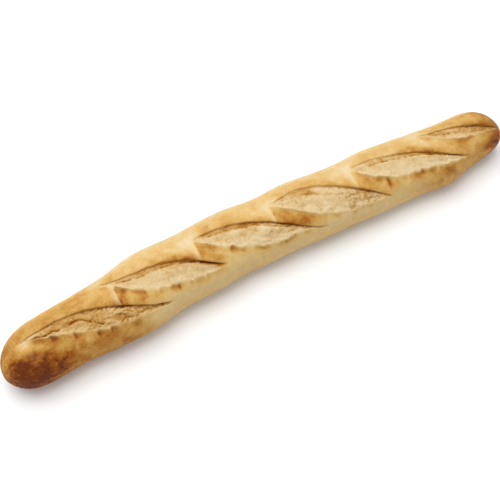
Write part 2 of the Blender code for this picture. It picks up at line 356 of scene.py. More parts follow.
# and short creases: x of the edge, how far they reach down and along, in millimetres, and strength
CREASES = (
    ((-229, 8, 8, 1.1), (-210, 9, 9, 1.1), (-191, 9, 8, 1.6), (-179, 7, 9, 1.1), (-160, 5, 6, 0.7)),
    ((-141, 4, 5, 0.5), (-124, 7, 7, 0.9), (-107, 10, 6, 1.2), (-95, 6, 8, 0.8), (-79, 7, 8, 1.0)),
    ((-47, 11, 7, 0.9), (-38, 9, 9, 0.6), (-20, 6, 7, 0.5), (5, 8, 9, 0.7), (16, 7, 8, 0.6)),
    ((58, 6, 8, 0.3), (91, 6, 6, 0.7)),
    ((127, 13, 6, 1.0), (151, 8, 9, 0.7), (166, 8, 9, 0.4), (185, 11, 12, 0.55)),
    ((219, 7, 8, 0.45), (241, 6, 7, 0.4)),
)
CREASE = 1.5 * MM
CREASE_DOWN_FADE = 0.6  # shares of those two lengths where a crease has faded by two thirds
CREASE_LENGTH_FADE = 0.8
# darker in each crease, partly painted shade and partly browner crust
CREASE_SHADE_AND_BROWN = 0.42
CREASE_MOTTLE = (0.9, 0.3)
CREASE_AT_RIM = 0.3
CREASE_FLOUR_LOSS = 0.9
SLANT = 0.05  # how far the edges of facets and creases lean towards -X on their way down
EDGE_SPAN = (0, 0.9 * MM)
LIP_SIDE = 21 * MM  # how far down the flank facets reach
LIP_EDGE = 1.6 * MM  # how far below the lip they begin

# The torn edge of the crust along a lower lip
RIM = 0.8 * MM  # how far it stands up
RIM_REACH = 1.1 * MM
RIM_INNER = 0.7  # towards the crumb it falls off more slowly
RIM_WAVES = (0.8, 0.5, 7 * MM)  # its level, and the strength and size of its waves
RIM_SPANS = ((-0.02, 0.04), (0.97, 0.72))
SCALLOPS = (1.9, 1.6, 1.5, 0.8, 1.1, 0.8)  # how far it wanders at each slash, in millimetres
SCALLOP_LENGTH = 11 * MM
SCALLOP_RISE = 0.8  # share of a scallop before it jumps back
SCALLOP_REACH = 3 * MM
SCALLOP_UNEVEN = 0.45
SCALLOP_UNEVEN_SIZE = 16 * MM
# the pale rim is partly the torn edge's own paler colour and partly a painted highlight where it faces the
# light
PALE_RIM = (0.28, 0.52, 0.64, 0.7, 0.64, 0.35)  # how pale it is at each slash
PALE_RIM_WIDTH = 1.5 * MM
PALE_RIM_WAVE_SIZE = 6 * MM
PALE_RIM_ON_FACET = 0.5
RIM_BROWN = 0.26  # of a broken band just below it
RIM_BROWN_PLACE = (2.2 * MM, 3.6 * MM)
RIM_BROWN_GAPS = (0.4, 1.5, 11 * MM)  # level, contrast and size of the breaks
RIM_BROWN_MOTTLE = 0.8
RIM_FLOUR_LOSS = 0.8
RIM_FLOUR_REACH = 5 * MM

# The mesh: its columns run along the slashes, so they wind round the loaf in equal strips
STRIPS = 5
FIRST_SLASH = -190 * MM
PITCH = 84 * MM
MIDDLE_ANGLE = 26
OPENING_SHARE = 0.5
TOUCH = 0.01 * MM
CLOSED_HALF = 1.2 * MM
RELAX = 35 * MM
OPENING_COLUMNS = 28
OPENING_CROWDING = 0.3  # how much closer together columns are towards the lips
CRUST_COLUMNS = 12
CRUST_CROWDING = 0.45
MIDDLE_RINGS = 430
CAP_RINGS = 28
GIRTH_STEPS = 1440

# Camera and light
CAMERA_AIM = (-24.5 * MM, -9.1 * MM, 20 * MM)
CAMERA_BACK = 746.6 * MM
CAMERA_AZIMUTH = -30
CAMERA_ELEVATION = 60
CAMERA_LENS = 55
SENSOR = 36
CLIP_START = 10 * MM
KEY_AZIMUTH = 195
KEY_ELEVATION = 70
KEY_BACK = 3.0
KEY_SIZE = 2.8
KEY_POWER = 76
WORLD_STRENGTH = 0.66
FLOOR_HALF = 6.0
FLOOR_DROP = 0.2 * MM
FLOOR_TONE = 0.9
FLOOR_ROUGHNESS = 0.9
FLOOR_SHEEN = 0.1


def smooth(value):
    """0 below 0, 1 above 1, and an even slope between."""
    value = np.clip(value, 0, 1)
    return value * value * (3 - 2 * value)


def fade(value, start, full):
    """0 up to the start of a span and 1 from its other end on."""
    return smooth((value - start) / (full - start))


def bump(value, centre, reach):
    """1 at the centre, falling off evenly on both sides."""
    return np.exp(-(((value - centre) / reach) ** 2))


def at_least(least, share):
    """The share, squeezed into least to 1."""
    return least + (1 - least) * share


def cap(x):
    """Share of the full section at x, falling to 0 at either end."""
    near = np.clip((x + LENGTH / 2) / CAP_NEAR, 0, 1)
    far = np.clip((LENGTH / 2 - x) / CAP_FAR, 0, 1)
    root = 1 / CAP_ROUNDNESS
    return (1 - (1 - near) ** CAP_ROUNDNESS) ** root * (1 - (1 - far) ** CAP_ROUNDNESS) ** root


def curve(stations, x):
    """Height at x of a smooth curve through the stations."""
    xs, values = np.array(stations).T * MM
    step = np.clip(np.searchsorted(xs, x) - 1, 0, len(xs) - 2)
    length = xs[step + 1] - xs[step]
    share = (x - xs[step]) / length
    slopes = np.gradient(values, xs)
    rise = values[step + 1] - values[step]
    start = slopes[step] * length - rise
    end = slopes[step + 1] * length - rise
    return values[step] + share * rise + share * (1 - share) * (start * (1 - share) - end * share)


def plan(x):
    """Half width and sway of the loaf at x."""
    front, back = curve(FRONT, x), curve(BACK, x)
    return (back - front) / 2, (back + front) / 2


def section(angle, half_width, crown, keel):
    """Sideways place and height of the loaf's section, measured from its widest line."""
    sine, cosine = np.sin(np.radians(angle)), np.cos(np.radians(angle))
    power = 2 / np.where(cosine > 0, CROWN_ROUNDNESS, KEEL_ROUNDNESS)
    height = np.where(cosine > 0, crown, keel)
    return (
        -half_width * np.sign(sine) * np.abs(sine) ** power,
        height * np.sign(cosine) * np.abs(cosine) ** power,
    )


def girth_table():
    """Angles round the loaf and the distance from the crest to each, over the middle section."""
    angles = np.linspace(-180, 180, GIRTH_STEPS + 1)
    y, z = section(angles, HALF_WIDTH, CROWN, KEEL)
    z = np.maximum(z, -BELLY)
    girth = np.concatenate(([0], np.cumsum(np.hypot(np.diff(y), np.diff(z)))))
    return angles, girth - girth[len(girth) // 2]


ANGLES, GIRTHS = girth_table()
GIRTH = GIRTHS[-1] - GIRTHS[0]


def wrapped(girth):
    """The same place round the loaf, counted from the crest the shorter way."""
    return (girth + GIRTH / 2) % GIRTH - GIRTH / 2


def angle_at(girth):
    """Angle round the loaf of a distance from the crest."""
    return np.interp(wrapped(girth), GIRTHS, ANGLES)


def girth_at(angle):
    """Distance from the crest to an angle round the loaf."""
    return np.interp(angle, ANGLES, GIRTHS)


MIDDLE_GIRTH = girth_at(MIDDLE_ANGLE)


def base_point(x, girth):
    """Points of the loaf without its slashes."""
    half_width, sway = plan(x)
    share = cap(x)
    crown = CROWN * (half_width / HALF_WIDTH) ** CROWN_GAIN
    y, z = section(angle_at(girth), half_width * share, crown * share, KEEL * share)
    middle = sway + (1 - share) * (NOSE_NEAR if x < 0 else NOSE_FAR)
    return np.stack([x + 0 * y, middle + y, np.maximum(BELLY + z, 0)], -1)


# Large whole numbers that scatter others evenly over 32 bits
SEED_FACTOR = 2654435761
SEED_START = 97
AXIS_FACTORS = (73856093, 19349663, 83492791)
MIX_STEPS = ((15, 2246822519), (13, 3266489917))
LARGEST = 0xFFFFFFFF


def hashed(cells, seed):
    """A number from 0 to 1 for each whole-numbered cell, the same at every run."""
    mask = np.uint64(LARGEST)
    whole = cells.astype(np.int64).astype(np.uint64) & mask
    mixed = np.full(whole.shape[:-1], (seed * SEED_FACTOR + SEED_START) & LARGEST, np.uint64)
    for axis, axis_factor in enumerate(AXIS_FACTORS):
        mixed = (mixed ^ (whole[..., axis] * np.uint64(axis_factor))) & mask
        for bits, factor in MIX_STEPS:
            mixed = ((mixed ^ (mixed >> np.uint64(bits))) * np.uint64(factor)) & mask
    return (mixed ^ (mixed >> np.uint64(16))).astype(float) / LARGEST


WAVE_GAIN = 1.6  # brings the waves up to about -1 and 1


def waves(points, size, seed, stretch=(1, 1, 1)):
    """Smooth noise between about -1 and 1 at each point; size is that of one wave, in metres.
    The seed is any whole number, and tells one use from the others."""
    scaled = points / (size * np.array(stretch))
    cell = np.floor(scaled)
    inner = scaled - cell
    weight = inner**3 * (inner * (6 * inner - 15) + 10)
    total = np.zeros(points.shape[:-1])
    for corner in itertools.product((0, 1), repeat=3):
        away = inner - np.array(corner)
        share = np.prod(np.where(corner, weight, 1 - weight), axis=-1)
        for axis in range(3):
            slope = 2 * hashed(cell + np.array(corner), 3 * seed + axis) - 1
            total += share * away[..., axis] * slope
    return WAVE_GAIN * total


OFF_GRID = (0.31, 0.47)  # the waves are 0 at whole numbers, so a line through them keeps off those


def along_waves(xs, size, seed):
    """The same along the loaf only."""
    return waves(np.stack([xs, *(0 * xs + share * size for share in OFF_GRID)], -1), size, seed)


def pits(points, size, seed):
    """1 in the middle of scattered small cells, falling to 0 at their rims."""
    scaled = points / size
    cell = np.floor(scaled)
    nearest = np.full(points.shape[:-1], np.inf)
    for shift in itertools.product((-1, 0, 1), repeat=2):
        here = cell + np.array((*shift, 0))
        here[..., 2] = seed
        x, y, chosen = (hashed(here, seed + n) for n in (101, 102, 103))
        distance = np.hypot(here[..., 0] + x - scaled[..., 0], here[..., 1] + y - scaled[..., 1])
        nearest = np.where(chosen > PIT_CHANCE, np.minimum(nearest, distance), nearest)
    return np.clip(1 - nearest / PIT_RADIUS, 0, 1)


def steady_noise(points, size):
    """The noise that the solid's dents and crags come from."""
    flat = (points / size).reshape(-1, 3)
    return np.array([noise.noise(Vector(point)) for point in flat]).reshape(points.shape[:-1])


def slash_at(k, x):
    """Centre and half opening of slash k at x as distances round the loaf, how far along it x lies,
    how far past its tips, its depth and the share of its full ear and groove."""
    start, end, first, last, half_angle, widest, sag, bend, narrowing = SLASHES[k]
    along = (x / MM - start) / (end - start)
    inside = np.clip(along, 0, 1)
    straight = first + (last - first) * along
    centre = straight - sag * np.sin(math.pi * inside**2) + bend * np.sin(2 * math.pi * inside)
    swell = np.maximum(np.sin(math.pi * inside ** (math.log(0.5) / math.log(widest))), 0)
    opening = half_angle * swell * (1 - narrowing * smooth(2 * inside - 1))
    wobbly = smooth(swell / WOBBLE_FROM)
    back = girth_at(centre - opening) + UPPER_WOBBLE * wobbly * along_waves(x, WOBBLE_SIZE, k)
    ragged = along_waves(x, WOBBLE_SIZE, k + 10) + TATTERS * along_waves(x, TATTER_SIZE, k + 50)
    front = girth_at(centre + opening) + LOWER_WOBBLE * wobbly * ragged
    past = np.maximum(-along, along - 1) * (end - start) * MM
    depth = smooth(along / START_FADE) * smooth((1 - along) / END_FADE)
    grown = at_least(START_SHARE, smooth(along))
    return (back + front) / 2, (front - back) / 2, along, past, depth, grown


def strip_at(k, x):
    """Centre, half opening, share along, depth and share of the full ear and groove of strip k at x."""
    centre = ((x - FIRST_SLASH) / PITCH - k) * GIRTH / STRIPS + MIDDLE_GIRTH
    half = OPENING_SHARE / 2 * GIRTH / STRIPS + 0 * x
    if not 0 <= k < len(SLASHES):
        return centre, half, 0 * x, 0 * x, 0 * x
    slash_centre, slash_half, along, past, depth, grown = slash_at(k, x)
    held = 1 - smooth(past / RELAX)
    closed = np.hypot(slash_half, CLOSED_HALF)
    return centre + (slash_centre - centre) * held, half + (closed - half) * held, along, depth, grown


def column_places():
    """Place of each column in its strip: whole numbers are the middles of openings."""
    half = OPENING_SHARE / 2
    steps = np.linspace(0, 1, OPENING_COLUMNS)
    even = (1 - OPENING_CROWDING) * (2 * steps - 1)
    opening = half * (even - OPENING_CROWDING * np.cos(math.pi * steps))
    shares = np.arange(1, CRUST_COLUMNS + 1) / (CRUST_COLUMNS + 1)
    crowded = (1 - CRUST_CROWDING) * shares + CRUST_CROWDING / 2 * (1 - np.cos(math.pi * shares))
    crust = half + (1 - OPENING_SHARE) * crowded
    return np.concatenate([k + np.concatenate((opening, crust)) for k in range(STRIPS)])


def ring_girths(xs, places):
    """Distance round the loaf of each column at each x, with the columns drawn to the lips of the slashes."""
    middles = (xs - FIRST_SLASH) / PITCH + MIDDLE_GIRTH * STRIPS / GIRTH
    firsts = np.ceil(middles - STRIPS / 2).astype(int)
    strips = {k: strip_at(k, xs)[:2] for k in range(firsts.min(), firsts.max() + STRIPS)}
    girths = []
    for n, first in enumerate(firsts):
        knots, values = [], []
        for turn in (-1, 0, 1):
            for k in range(first, first + STRIPS):
                centre, half = strips[k][0][n], strips[k][1][n]
                for side in (-1, 1):
                    knots.append(k + turn * STRIPS + side * OPENING_SHARE / 2)
                    values.append(centre - turn * GIRTH - side * half)
        girths.append(np.interp((places - first + 0.5) % STRIPS + first - 0.5, knots, values))
    return np.array(girths)


class Slash:
    """Where every point of the coat lies in or beside slash k. Distances are in metres."""

    def __init__(self, k, xs, girths):
        self.k = k
        places = strip_at(k, xs[:, 0])
        centre, self.half, self.along, self.depth, self.grown = (value[:, None] for value in places)
        self.offset = wrapped(girths - centre)
        self.inside = np.abs(self.offset) < self.half - TOUCH
        self.upper = ~self.inside & (self.offset < 0)
        self.lower = ~self.inside & (self.offset > 0)
        self.across = np.clip((self.offset + self.half) / (2 * self.half), 0, 1)
        self.inward = self.across * 2 * self.half
        self.margin = np.minimum(self.inward, 2 * self.half - self.inward)
        self.behind = np.maximum(-self.offset - self.half, 0)
        self.before = np.maximum(self.offset - self.half, 0)
        past_start, past_end = self.along + TIP_PAST, 1 + TIP_PAST - self.along
        self.tip = smooth(past_start / TIP_FADE) * smooth(past_end / TIP_FADE)


class Coat:
    """Relief over the plain loaf and how much of each look every point has. Rows are rings."""

    def __init__(self, xs, girths, plain):
        self.xs, self.girths, self.plain = xs[:, None], girths, plain
        self.angles = angle_at(girths)
        self.flat = np.stack([np.broadcast_to(self.xs, girths.shape), wrapped(girths), 0 * girths], -1)
        self.height, self.shift = 0 * girths, 0 * girths
        self.crumb, self.dark, self.bake, self.pale, self.flour = (0 * girths for _ in range(5))
        self.crag = steady_noise(plain, CRAG_SIZE)
        self.rough = waves(self.flat, ROUGH_SIZE, 3) + FINER_ROUGH * waves(self.flat, ROUGH_SIZE / 2, 4)
        self.fibre = waves(self.flat, FIBRE_SIZE, 5, FIBRE_STRETCH)
        swirl = SWIRL * np.stack([waves(self.flat, SWIRL_SIZE, seed) for seed in (16, 17, 18)], -1)
        bulges = waves(self.flat + swirl, BULGE_SIZE, 6, BULGE_STRETCH)
        self.seam = 1 - np.minimum(np.abs(bulges) / SEAM_HALF, 1)
        self.holes = pits(self.flat, PIT_SIZE, 7)
        # distances from the crest jump in the middle of the tray side, so what follows them fades out there
        self.tray = fade(np.abs(self.angles), *TRAY_SPAN)
        patches = waves(self.flat, PATCH_SIZE, 8) + FINER * waves(self.flat, SMALL_PATCH_SIZE, 9)
        self.patches = (1 - self.tray) * patches

    def spot(self, x, girth, length, width):
        """1 at that x and distance from the crest, fading over the length and width, in millimetres."""
        return bump(self.xs, x * MM, length * MM) * bump(wrapped(self.girths), girth * MM, width * MM)

    def mottled(self, share):
        """About 1, more in the browner patches and less between them."""
        return 1 + share * self.patches

    def gaps(self, level, contrast, size, seed):
        """1 and 0 by turns along the loaf."""
        return smooth(level + contrast * along_waves(self.xs, size, seed))

    def plain_crust(self):
        """Dents and the looks of the crust as if it had no slashes."""
        self.height += DENT * steady_noise(self.plain, DENT_SIZE)
        self.brown_top()
        self.roughen_flanks(self.brown_ends())
        spots = waves(self.plain, TRAY_SPOT_SIZE, 41) + FINER * waves(self.plain, SMALL_PATCH_SIZE, 42)
        self.bake += self.tray * (TRAY_BAKE + TRAY_SPOT_BAKE * spots)

    def brown_top(self):
        """Uneven gold, paler on the back and crest and where slashes start."""
        angle = self.angles
        broad = (1 - self.tray) * waves(self.flat, BROAD_SIZE, 11)
        self.bake += BAKE + BROAD_BAKE * broad + PATCH_BAKE * self.patches
        self.bake -= PALE_BACK * fade(angle, *BACK_SPAN) * fade(angle, *BACK_FOOT_SPAN)
        self.bake -= PALE_CREST * bump(angle, CREST_ANGLE, CREST_SPREAD)
        self.bake -= PALE_WAIST * bump(self.xs, WAIST_X, WAIST_LENGTH) * fade(angle, *WAIST_SPAN)
        for start, _, first, *_ in SLASHES[1:]:
            place = start + START_SHIFT[0], girth_at(first) / MM + START_SHIFT[1]
            self.bake -= PALE_START * self.spot(*place, *START_SPREAD)

    def brown_ends(self):
        """The browner ends with their wrinkles, and the patches all over. Returns how blistered it is."""
        x, angle = self.xs, self.angles
        near, far = fade(x, *NEAR_END), fade(x, *FAR_END)
        low = fade(angle, *LOW_SPAN) * (1 - self.tray)
        near_low = fade(x, *NEAR_LOW_SPAN) * low
        for start, full, strength in BROWNER:
            self.bake += strength * fade(x, start, full)
        for *place, strength in PATCHES:
            self.bake += strength * self.spot(*place) * self.mottled(PATCH_MOTTLE)
        self.bake += NEAR_LOW_BAKE * near_low
        self.bake += NEAR_BACK_BAKE * near * fade(angle, *NEAR_BACK_SPAN) * (1 - self.tray)
        blistered = self.spot(*NEAR_CHEEK) + NEAR_BLISTERS * near + NEAR_LOW_BLISTERS * near_low
        blistered += FAR_LOW_BLISTERS * far * low + self.spot(*FAR_CHEEK)
        blistered = np.clip(blistered, 0, 1)
        wrinkles = waves(self.flat, WRINKLE_SIZE, 12, WRINKLE_STRETCH)
        wrinkles += FINER * waves(self.flat, WRINKLE_SIZE / 2, 13)
        wrinkles *= 1 - self.tray
        self.height += WRINKLE * blistered * wrinkles
        self.bake += WRINKLE_BROWN * blistered * wrinkles
        return blistered

    def roughen_flanks(self, blistered):
        """Pimples low on the flanks, flour on the front one, and amber there towards both ends."""
        angle = self.angles
        low = fade(np.abs(angle), *PIMPLE_SPAN) * (1 - self.tray)
        pimples = waves(self.flat, PIMPLE_SIZE, 14)
        pimples += FINER_PIMPLES * waves(self.flat, PIMPLE_SIZE / 2, 15)
        self.height += PIMPLE * low * pimples
        self.bake += PIMPLE_BROWN * low * pimples
        amber = fade(self.xs, *NEAR_AMBER_SPAN) + FAR_AMBER * fade(self.xs, *FAR_AMBER_SPAN)
        floury = smooth(FLOUR_SHARE + FLOUR_MOTTLE * self.patches) * fade(angle, *FLOUR_SPAN)
        floury *= (1 - smooth(blistered / BLISTERED_IN_FULL)) * (1 - np.minimum(amber, 1))
        self.flour = floury * (1 - FLOUR_LOW_LOSS * fade(angle, *FLOUR_LOW_SPAN)) * (1 - self.tray)
        amber_low = amber * fade(angle, *AMBER_LOW_SPAN) * (1 - self.tray)
        self.bake += AMBER_BAKE * amber_low * self.mottled(AMBER_MOTTLE)

    def slash(self, k):
        """Relief and looks of one slash."""
        cut = Slash(k, self.xs, self.girths)
        self.carve(cut)
        self.tone_crumb(cut, *self.tear(cut))
        self.shade_ear(cut)
        facet = self.break_crust(cut)
        self.edge_lip(cut, facet)

    def carve(self, cut):
        """The solid's relief: ear, groove, crumb and lower lip."""
        hidden = np.exp(-cut.inward / GROOVE_REACH)
        ear = EAR * cut.grown * np.exp(-((cut.behind / EAR_REACH) ** EAR_ROUNDNESS))
        ear -= ROLL * np.exp(-cut.behind / ROLL_REACH)
        lip = LIP * np.exp(-cut.before / LIP_REACH)
        rise = fade(cut.across, *RISE_SPAN)
        crumb = SWELL * np.sin(math.pi * cut.across) - SUNK + (SUNK + LIP) * rise
        crumb -= (GROOVE * cut.grown - SUNK) * hidden
        self.height += cut.depth * np.where(cut.inside, crumb, np.where(cut.offset < 0, ear, lip))
        self.shift -= cut.depth * cut.inside * UNDERCUT * cut.grown * hidden

    def tear(self, cut):
        """The crumb's relief and the tear through it. Returns its folds and seams, and how much of the
        rougher second half and of the shelf above the tear is where."""
        k, along, inward = cut.k, cut.along, cut.inward
        body = cut.depth * cut.inside * smooth(cut.margin / CRUMB_MARGIN)
        second = fade(along, *SPECKLED_SPAN) * SPECKLED[k]
        # crags, folds, fibres and bulges
        layers = np.stack([self.xs + 0 * inward, inward, 0 * inward + k * LAYER_GAP], -1)
        folds = waves(layers, FOLD_SIZE, 21, FOLD_STRETCH)
        grain = ROUGH * self.rough * (FIRST_ROUGH + second) + FIBRE * self.fibre * (FIRST_FIBRE + second)
        crowded = at_least(FEWEST_SEAMS, smooth(0.5 + SEAM_MOTTLE * self.patches)) + SECOND_SEAMS * second
        seams = self.seam**2 * crowded
        self.height += body * (CRAG * self.crag + FOLD * folds * fade(inward, *FOLD_SPAN) + grain)
        self.height -= body * BULGE * LUMPY[k] * seams
        # the tear
        here, place = np.array(TEARS[k]).T
        wobble = TEAR_WOBBLE * along_waves(self.xs, TEAR_WOBBLE_SIZE, k + 20)
        line = np.interp(along, here, place) * 2 * cut.half + wobble
        run = smooth((along - here[0]) / TEAR_FADES[0]) * smooth((here[-1] - along) / TEAR_FADES[1])
        torn = TORN[k] * run * cut.inside * cut.depth
        cracked = torn * self.gaps(*CRACK_GAPS, k + 30)
        above = line - inward
        self.height -= CRACK * cracked * bump(inward, line, CRACK_HALF)
        self.height += STEP * torn * smooth(above / STEP_EDGE) * np.exp(-np.maximum(above, 0) / STEP_REACH)
        # painted shade in the crack
        self.dark += CRACK_SHADE * cracked * bump(inward, line + CRACK_SHADE_SHIFT, CRACK_HALF)
        # pits, with painted shade in them, and dark specks
        holes = self.holes * smooth(PITTED - np.abs(above) / PITTED_REACH + second)
        specks = fade(-self.rough, *SPECK_SPANS[0]) + fade(self.fibre, *SPECK_SPANS[1])
        self.height -= body * PIT * holes
        self.dark += body * (PIT_SHADE * holes + SPECK_DARK * second * specks)
        return folds, seams, second, run * (1 - fade(-above, *SHELF_SPAN))

    def tone_crumb(self, cut, folds, seams, second, shelf):
        """Tone of the crumb, from pale near the lower lip to browned on the shelf, and its marks."""
        k, along, across, inward = cut.k, cut.along, cut.across, cut.inward
        tone = CRUMB_TONE[k] + shelf * (SHELF_TONE[k] - CRUMB_TONE[k])
        # painted light and shade on the folds, then uneven tone of patches and fibres
        tone += FOLD_LIGHT_AND_SHADE_TONE * folds + PATCH_TONE * self.patches + FIBRE_TONE * self.fibre
        tone += LOW_TONE * fade(across, *LOW_TONE_SPAN) + SECOND_TONE * second
        # painted shade in the sunken seams, and browner towards the upper lip
        tone += SEAM_SHADE_TONE * LUMPY[k] * seams**2 + UPPER_TONE * np.exp(-inward / UPPER_TONE_REACH)
        # painted warm shade under the ear
        tone += EAR_SHADE_TONE * cut.tip * bump(inward, 0, EAR_SHADE_TONE_REACH)
        for _, middle, place, length, width, browner, darker in (mark for mark in MARKS if mark[0] == k):
            mark = bump(along, middle, length) * bump(across, place, width)
            tone += browner * mark
            # painted shade from the marks
            self.dark += darker * mark * cut.inside
        share = smooth(cut.margin / CRUMB_EDGE) * smooth(cut.depth / CRUMB_FROM) * cut.inside
        self.crumb = np.maximum(self.crumb, share)
        self.bake += share * (tone - self.bake)

    def shade_ear(self, cut):
        """The painted shadow under the ear and the dark line along its edge, partly painted shade and partly
        toasted, and the browned ear.
        """
        k, along = cut.k, cut.along
        strong = SHADOWED[k] * at_least(FIRST_SHADOW, fade(along, *SHADOW_SPAN))
        strong = strong * at_least(TAIL_DARK[k], 1 - fade(along, *TAIL_SPAN))
        # painted shade: the shadow in the groove under the ear
        self.dark += SHADOW_DARK * cut.tip * strong * cut.inside * bump(cut.inward, 0, SHADOW_REACH)
        # the dark line along the ear's edge, partly painted shade and partly toasted crust
        self.dark += LINE_DARK * cut.tip * strong * cut.upper * np.exp(-cut.behind / LINE_REACH)
        middle, spread, blush = BLUSHES[k]
        band = fade(along, *EAR_BAND_SPANS[0]) * fade(along, *EAR_BAND_SPANS[1])
        patchy = fade(self.patches, *EAR_PATCH_SPAN) * fade(along, *EAR_PATCH_END)
        browned = EAR_BAKE + EAR_BAND_BAKE * band + EAR_PATCH_BAKE * patchy
        browned += BLUSH * blush * bump(along, middle, spread) * self.mottled(BLUSH_MOTTLE)
        self.bake += cut.upper * cut.tip * bump(cut.behind, 0, EAR_BAKE_REACH) * browned
        self.bake += EAR_EDGE_BAKE * cut.upper * cut.tip * strong * np.exp(-cut.behind / EAR_EDGE_REACH)

    def break_crust(self, cut):
        """Facets and creases below the lower lip. Returns how much of the broad facet is where."""
        reach = cut.lower * np.exp(-((cut.before / LIP_SIDE) ** 4))
        off_rim = 1 - np.exp(-cut.before / LIP_EDGE)
        x0, length, brown = FACETS[cut.k]
        past = self.xs - x0 * MM + SLANT * cut.before
        level = FACET_LEVEL * length * MM
        facet = fade(past, *EDGE_SPAN) * (1 - fade(past, level, level + length * MM))
        self.height -= FACET * facet * reach * off_rim * cut.depth**0.5
        mottle = FACET_MOTTLE[0] + FACET_MOTTLE[1] * self.patches
        self.bake += FACET_BROWN * brown * facet * mottle * reach * at_least(FACET_RIM_BROWN, off_rim)
        self.pale += PALE_EDGE * fade(past, *PALE_EDGE_SPAN) * (past < 0) * reach * brown
        for x0, down, length, strength in CREASES[cut.k]:
            past = self.xs - x0 * MM + SLANT * cut.before
            crease = fade(past, *EDGE_SPAN) * bump(np.maximum(past, 0), 0, CREASE_LENGTH_FADE * length * MM)
            crease = strength * crease * cut.lower * at_least(CREASE_AT_RIM, off_rim)
            crease *= bump(cut.before, 0, CREASE_DOWN_FADE * down * MM)
            self.height -= CREASE * crease
            self.flour *= 1 - np.minimum(crease, CREASE_FLOUR_LOSS)
            # darker crease: partly painted shade, partly browner crust
            self.bake += CREASE_SHADE_AND_BROWN * crease * (CREASE_MOTTLE[0] + CREASE_MOTTLE[1] * self.patches)
        return facet

    def edge_lip(self, cut, facet):
        """The scalloped, raised, pale edge of the crust along the lower lip, partly its own paler colour and
        partly a painted highlight, and the brown below it.
        """
        k, lower_half = cut.k, cut.offset > 0
        whole = fade(cut.along, *RIM_SPANS[0]) * fade(cut.along, *RIM_SPANS[1])
        uneven = SCALLOP_UNEVEN * along_waves(self.xs, SCALLOP_UNEVEN_SIZE, k + 80)
        cycle = (self.xs / SCALLOP_LENGTH + uneven) % 1
        teeth = np.minimum(cycle / SCALLOP_RISE, (1 - cycle) / (1 - SCALLOP_RISE)) - 0.5
        reached = whole * cut.depth * lower_half * bump(cut.offset, cut.half, SCALLOP_REACH)
        self.shift += SCALLOPS[k] * MM * teeth * reached
        browned = cut.lower * whole * self.gaps(*RIM_BROWN_GAPS, k + 60) * bump(cut.before, *RIM_BROWN_PLACE)
        self.bake += RIM_BROWN * browned * self.mottled(RIM_BROWN_MOTTLE)
        away = np.where(cut.lower, cut.before, RIM_INNER * (2 * cut.half - cut.inward))
        level, contrast, size = RIM_WAVES
        raised = level + contrast * along_waves(self.xs, size, k + 70)
        self.height += RIM * bump(away, 0, RIM_REACH) * ~cut.upper * lower_half * whole * raised
        self.flour *= 1 - RIM_FLOUR_LOSS * cut.lower * whole * bump(cut.before, 0, RIM_FLOUR_REACH)
        # pale rim: partly its own colour, partly a painted highlight
        rim = bump(cut.before, 0, PALE_RIM_WIDTH) * cut.lower * whole * (1 - PALE_RIM_ON_FACET * facet)
        self.pale += PALE_RIM[k] * rim * (1 + along_waves(self.xs, PALE_RIM_WAVE_SIZE, k + 40))

    def points(self):
        """The dressed points, each moved out along the loaf's normal and sideways."""
        along = np.gradient(self.plain, axis=0)
        round_loaf = np.roll(self.plain, -1, axis=1) - np.roll(self.plain, 1, axis=1)
        across = -round_loaf / np.linalg.norm(round_loaf, axis=2, keepdims=True)
        normals = np.cross(along, round_loaf)
        normals /= np.linalg.norm(normals, axis=2, keepdims=True)
        height = self.height * (self.plain[:, :, 2] > 0)
        moved = self.plain + normals * height[:, :, None] + across * self.shift[:, :, None]
        moved[:, :, 1] += SIDE_SHIFT
        moved[:, :, 2] = np.maximum(moved[:, :, 2], 0)
        return moved

    def looks(self):
        """How much of each look every point has, in the order of LOOKS."""
        return [np.clip(value, 0, 1) for value in (self.crumb, self.dark, self.bake, self.pale, self.flour)]


def ring_places():
    """x of each ring: close together in the rounded ends, even between."""
    turns = np.linspace(0, math.pi / 2, CAP_RINGS + 2)[1:-1]
    near = -LENGTH / 2 + CAP_NEAR * (1 - np.cos(turns))
    far = LENGTH / 2 - CAP_FAR * (1 - np.cos(turns))
    middle = np.linspace(-LENGTH / 2 + CAP_NEAR, LENGTH / 2 - CAP_FAR, MIDDLE_RINGS)
    return np.concatenate((near, middle, far[::-1]))


def loaf():
    """Points of the dressed loaf ring by ring, its two end points, and its looks."""
    xs = ring_places()
    girths = ring_girths(xs, column_places())
    plain = np.array([base_point(x, girth) for x, girth in zip(xs, girths)])
    coat = Coat(xs, girths, plain)
    coat.plain_crust()
    for k in range(len(SLASHES)):
        coat.slash(k)
    coat.height *= cap(xs)[:, None] ** 0.5
    ends = np.array([base_point(side * LENGTH / 2, 0) for side in (-1, 1)])
    ends[:, 1] += SIDE_SHIFT
    return coat.points(), ends, coat.looks()


LOOKS = ("crumb", "dark", "bake", "pale", "flour")


def skin(name, points, ends, looks):
    """A closed mesh over the rings, with a fan of triangles at each end, and every look at each point."""
    count, columns = points.shape[:2]
    place = np.arange(count * columns).reshape(count, columns)
    after = np.roll(place, -1, axis=1)
    quads = np.stack([place[:-1], place[1:], after[1:], after[:-1]], -1).reshape(-1, 4)
    near, far = count * columns, count * columns + 1
    near_fan = [(near, a, b) for a, b in zip(place[0], after[0])]
    far_fan = [(far, b, a) for a, b in zip(place[-1], after[-1])]
    mesh = bpy.data.meshes.new(name)
    corners = np.concatenate((points.reshape(-1, 3), ends))
    mesh.from_pydata(corners.tolist(), [], quads.tolist() + near_fan + far_fan)
    mesh.validate()
    mesh.shade_smooth()
    for look, values in zip(LOOKS, looks):
        layer = mesh.attributes.new(look, "FLOAT", "POINT")
        ends_too = np.concatenate((values.ravel(), (values[0].mean(), values[-1].mean())))
        layer.data.foreach_set("value", ends_too.astype(np.float32))
    return mesh


LIGHT = 1.3  # the scene's light on the crest, where 1 shows a white thing as white


